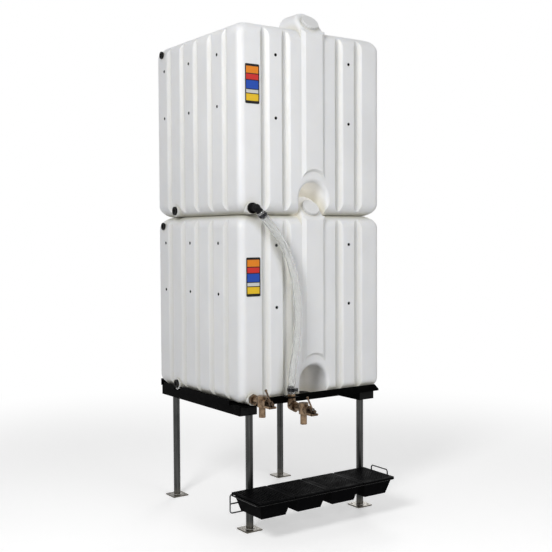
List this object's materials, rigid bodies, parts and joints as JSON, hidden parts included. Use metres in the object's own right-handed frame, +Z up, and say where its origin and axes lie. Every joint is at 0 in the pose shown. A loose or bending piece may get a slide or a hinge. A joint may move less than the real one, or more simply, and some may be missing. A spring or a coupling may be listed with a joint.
{
  "type": "gravity feed bulk fluid station",
  "caption": "Stacked ribbed poly tanks on a pipe-legged steel stand, with lever faucets, a clear feed hose and a wire rack of drip trays.",
  "frame": {"origin": "on the floor, at the centre of the four legs", "axes": "+Z up, -Y towards the front with the faucets, +X to the right seen from the front"},
  "size_m": [0.8325, 0.9775, 2.295],
  "materials": {
    "leg_steel": "bare pipe, lightly polished",
    "frame_black": "black semi-gloss paint",
    "tank_poly": "milky rotomoulded polyethylene",
    "cap_poly": "white moulded",
    "gasket_rubber": "flat",
    "black_plastic": "satin black",
    "label_film": "plain colour bands, no words",
    "clear_vinyl": "clear flexible vinyl",
    "bright_steel": "bright plated wire",
    "faucet_brass": "cast and turned brass",
    "tray_plastic": "black moulded"
  },
  "bodies": {
    "station": {"base_plate_front_left": "leg_steel", "base_plate_front_right": "leg_steel", "base_plate_rear_left": "leg_steel", "base_plate_rear_right": "leg_steel", "deck_bars": "frame_black", "drain_plugs": "black_plastic", "faucet_bracket": "frame_black", "feed_elbow": "faucet_brass", "feed_hose": "clear_vinyl", "first_faucet_body": "faucet_brass", "first_faucet_bonnet": "faucet_brass", "first_faucet_pin": "faucet_brass", "front_inserts": "black_plastic", "front_rail": "frame_black", "hose_elbow": "black_plastic", "hose_nipple": "faucet_brass", "label_cards": "label_film", "left_inserts": "black_plastic", "leg_front_left": "leg_steel", "leg_front_right": "leg_steel", "leg_rear_left": "leg_steel", "leg_rear_right": "leg_steel", "lower_hose_clamp": "bright_steel", "lower_tank": "tank_poly", "outlet_bulkhead": "black_plastic", "rack_clamps": "bright_steel", "rack_fence": "bright_steel", "rail_end_plugs": "black_plastic", "rear_rail": "frame_black", "right_inserts": "black_plastic", "second_faucet_body": "faucet_brass", "second_faucet_bonnet": "faucet_brass", "second_faucet_pin": "faucet_brass", "side_lip_left": "frame_black", "side_lip_right": "frame_black", "side_rail_left": "frame_black", "side_rail_right": "frame_black", "tray_frame": "bright_steel", "upper_hose_clamp": "bright_steel", "upper_tank": "tank_poly", "vent_plugs": "black_plastic"},
    "tray_1": {"drip_tray_1": "tray_plastic"},
    "tray_2": {"drip_tray_2": "tray_plastic"},
    "tray_3": {"drip_tray_3": "tray_plastic"},
    "tray_4": {"drip_tray_4": "tray_plastic"},
    "first_lever": {"first_faucet_lever": "faucet_brass"},
    "first_stem": {"first_faucet_spring": "bright_steel", "first_faucet_stem": "faucet_brass"},
    "lower_cap_gasket": {"lower_cap_gasket": "gasket_rubber"},
    "lower_fill_cap": {"lower_fill_cap": "cap_poly"},
    "second_lever": {"second_faucet_lever": "faucet_brass"},
    "second_stem": {"second_faucet_spring": "bright_steel", "second_faucet_stem": "faucet_brass"},
    "grate_1": {"tray_grate_1": "tray_plastic"},
    "grate_2": {"tray_grate_2": "tray_plastic"},
    "grate_3": {"tray_grate_3": "tray_plastic"},
    "grate_4": {"tray_grate_4": "tray_plastic"},
    "upper_cap_gasket": {"upper_cap_gasket": "gasket_rubber"},
    "upper_fill_cap": {"upper_fill_cap": "cap_poly"}
  },
  "joints": [
    {"name": "lower_cap_lift", "type": "slide", "parent": "station", "child": "lower_cap_gasket", "axis": [0, -0.766, 0.6428], "range_m": [0, 0.003]},
    {"name": "lower_cap_turn", "type": "hinge", "parent": "lower_cap_gasket", "child": "lower_fill_cap", "pos_m": [0, -0.35915, 1.41349], "axis": [0, -0.766, 0.6428], "range_deg": [0, 270]},
    {"name": "upper_cap_lift", "type": "slide", "parent": "station", "child": "upper_cap_gasket", "axis": [0, -0.766, 0.6428], "range_m": [0, 0.003]},
    {"name": "upper_cap_turn", "type": "hinge", "parent": "upper_cap_gasket", "child": "upper_fill_cap", "pos_m": [0, -0.35915, 2.2375], "axis": [0, -0.766, 0.6428], "range_deg": [0, 270]},
    {"name": "first_lever_swing", "type": "hinge", "parent": "station", "child": "first_lever", "pos_m": [-0.334, -0.543, 0.574], "axis": [1, 0, 0], "range_deg": [0, 25], "stiffness_Nm_per_rad": 0.4},
    {"name": "first_stem_draw", "type": "slide", "parent": "station", "child": "first_stem", "axis": [0, -1, 0], "range_m": [0, 0.005]},
    {"name": "second_lever_swing", "type": "hinge", "parent": "station", "child": "second_lever", "pos_m": [-0.157, -0.599, 0.533], "axis": [1, 0, 0], "range_deg": [0, 25], "stiffness_Nm_per_rad": 0.4},
    {"name": "second_stem_draw", "type": "slide", "parent": "station", "child": "second_stem", "axis": [0, -1, 0], "range_m": [0, 0.005]},
    {"name": "tray_1_lift", "type": "slide", "parent": "station", "child": "tray_1", "axis": [0, 0, 1], "range_m": [0, 0.12]},
    {"name": "grate_1_lift", "type": "slide", "parent": "tray_1", "child": "grate_1", "axis": [0, 0, 1], "range_m": [0, 0.08]},
    {"name": "tray_2_lift", "type": "slide", "parent": "station", "child": "tray_2", "axis": [0, 0, 1], "range_m": [0, 0.12]},
    {"name": "grate_2_lift", "type": "slide", "parent": "tray_2", "child": "grate_2", "axis": [0, 0, 1], "range_m": [0, 0.08]},
    {"name": "tray_3_lift", "type": "slide", "parent": "station", "child": "tray_3", "axis": [0, 0, 1], "range_m": [0, 0.12]},
    {"name": "grate_3_lift", "type": "slide", "parent": "tray_3", "child": "grate_3", "axis": [0, 0, 1], "range_m": [0, 0.08]},
    {"name": "tray_4_lift", "type": "slide", "parent": "station", "child": "tray_4", "axis": [0, 0, 1], "range_m": [0, 0.12]},
    {"name": "grate_4_lift", "type": "slide", "parent": "tray_4", "child": "grate_4", "axis": [0, 0, 1], "range_m": [0, 0.08]}
  ],
  "couplings": [
    {"joint": "lower_cap_lift", "follows": "lower_cap_turn", "m_per_rad": 0.00063662},
    {"joint": "upper_cap_lift", "follows": "upper_cap_turn", "m_per_rad": 0.00063662},
    {"joint": "first_stem_draw", "follows": "first_lever_swing", "m_per_rad": 0.011459},
    {"joint": "second_stem_draw", "follows": "second_lever_swing", "m_per_rad": 0.011459}
  ]
}
